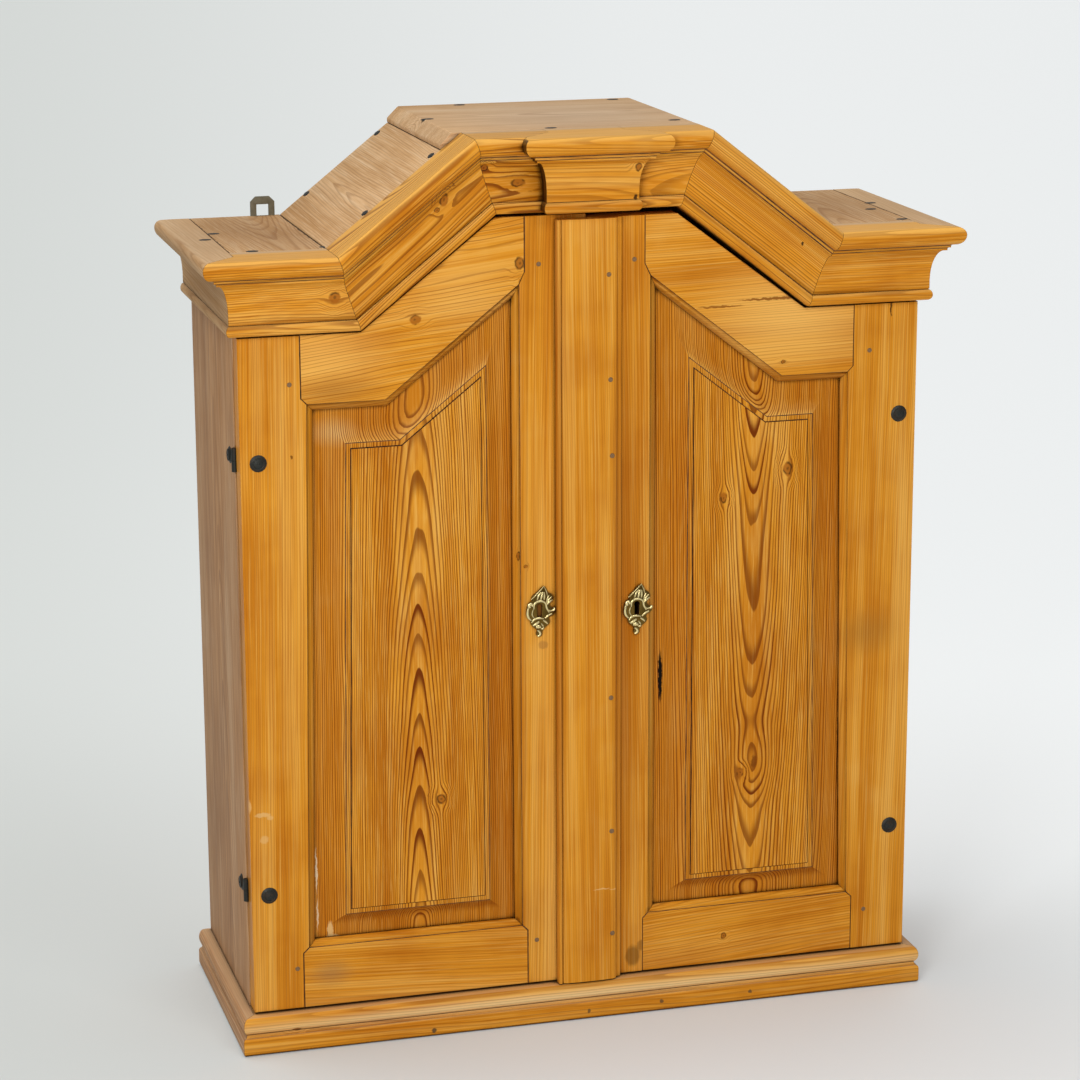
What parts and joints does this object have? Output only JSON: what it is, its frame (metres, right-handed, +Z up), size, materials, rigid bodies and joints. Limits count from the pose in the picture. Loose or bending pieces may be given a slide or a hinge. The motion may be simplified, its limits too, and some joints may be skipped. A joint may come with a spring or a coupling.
{
  "type": "wall cabinet",
  "caption": "Old pine wall cabinet with a gabled moulded cornice, moulded plinth, a pair of raised-panel doors on pintle hinges, rim lock, slide bolt and iron hanging loops.",
  "frame": {"origin": "middle of the bounding box at the plinth's underside", "axes": "+Z up, the doors face -Y, +X to the right of someone who faces the doors"},
  "size_m": [0.86, 0.336, 1.023],
  "materials": {
    "varnished_pine": "honey-coloured varnish",
    "greyed_pine": "worn grey-brown stain",
    "dusty_pine": "bare dusty boards",
    "inside_pine": "bare boards",
    "black_iron": "forged, blackened",
    "old_brass": "cast, dulled"
  },
  "bodies": {
    "root": {"left_side": "greyed_pine", "right_side": "greyed_pine", "bottom_board": "inside_pine", "lower_shelf": "inside_pine", "upper_shelf": "inside_pine", "back_panel": "inside_pine", "frieze_board": "inside_pine", "crown_roof_board": "dusty_pine", "left_shoulder_roof_board": "dusty_pine", "left_slope_roof_board": "dusty_pine", "right_shoulder_roof_board": "dusty_pine", "right_slope_roof_board": "dusty_pine", "cornice_crown_block": "varnished_pine", "cornice_left_return": "dusty_pine", "cornice_left_shoulder": "varnished_pine", "cornice_left_slope": "varnished_pine", "cornice_left_crown": "varnished_pine", "cornice_right_return": "dusty_pine", "cornice_right_shoulder": "varnished_pine", "cornice_right_slope": "varnished_pine", "cornice_right_crown": "varnished_pine", "plinth_front": "varnished_pine", "plinth_left": "greyed_pine", "plinth_right": "greyed_pine", "left_lower_hinge_pintle": "black_iron", "left_lower_side_rivet": "black_iron", "left_upper_hinge_pintle": "black_iron", "left_upper_side_rivet": "black_iron", "right_lower_hinge_pintle": "black_iron", "right_lower_side_rivet": "black_iron", "right_upper_hinge_pintle": "black_iron", "right_upper_side_rivet": "black_iron", "left_hanging_loop": "black_iron", "right_hanging_loop": "black_iron"},
    "right_door": {"right_door_outer_stile": "varnished_pine", "right_door_inner_stile": "varnished_pine", "right_door_top_rail": "varnished_pine", "right_door_bottom_rail": "varnished_pine", "right_door_panel": "varnished_pine", "right_lower_hinge_strap": "black_iron", "right_lower_door_rivet": "black_iron", "right_upper_hinge_strap": "black_iron", "right_upper_door_rivet": "black_iron", "right_escutcheon": "old_brass", "cover_strip": "varnished_pine", "lock_case": "black_iron"},
    "left_door": {"left_door_outer_stile": "varnished_pine", "left_door_inner_stile": "varnished_pine", "left_door_top_rail": "varnished_pine", "left_door_bottom_rail": "varnished_pine", "left_door_panel": "varnished_pine", "left_lower_hinge_strap": "black_iron", "left_lower_door_rivet": "black_iron", "left_upper_hinge_strap": "black_iron", "left_upper_door_rivet": "black_iron", "left_escutcheon": "old_brass", "lock_keeper": "black_iron", "left_door_bolt_plate": "black_iron"},
    "lock_bolt": {"lock_bolt": "black_iron"},
    "left_door_bolt": {"left_door_bolt": "black_iron"}
  },
  "joints": [
    {"name": "right_door_hinge", "type": "hinge", "parent": "root", "child": "right_door", "pos_m": [0.39, -0.0866, 0.436], "axis": [0, 0, 1], "range_deg": [0, 165]},
    {"name": "left_door_hinge", "type": "hinge", "parent": "root", "child": "left_door", "pos_m": [-0.39, -0.0866, 0.436], "axis": [0, 0, 1], "range_deg": [-165, 0]},
    {"name": "lock_bolt_slide", "type": "slide", "parent": "right_door", "child": "lock_bolt", "axis": [-1, 0, 0], "range_m": [0, 0.012]},
    {"name": "left_door_bolt_slide", "type": "slide", "parent": "left_door", "child": "left_door_bolt", "axis": [0, 0, 1], "range_m": [0, 0.03]}
  ],
  "couplings": [
    {"joint": "left_door_hinge", "follows": "right_door_hinge", "ratio": -1}
  ]
}
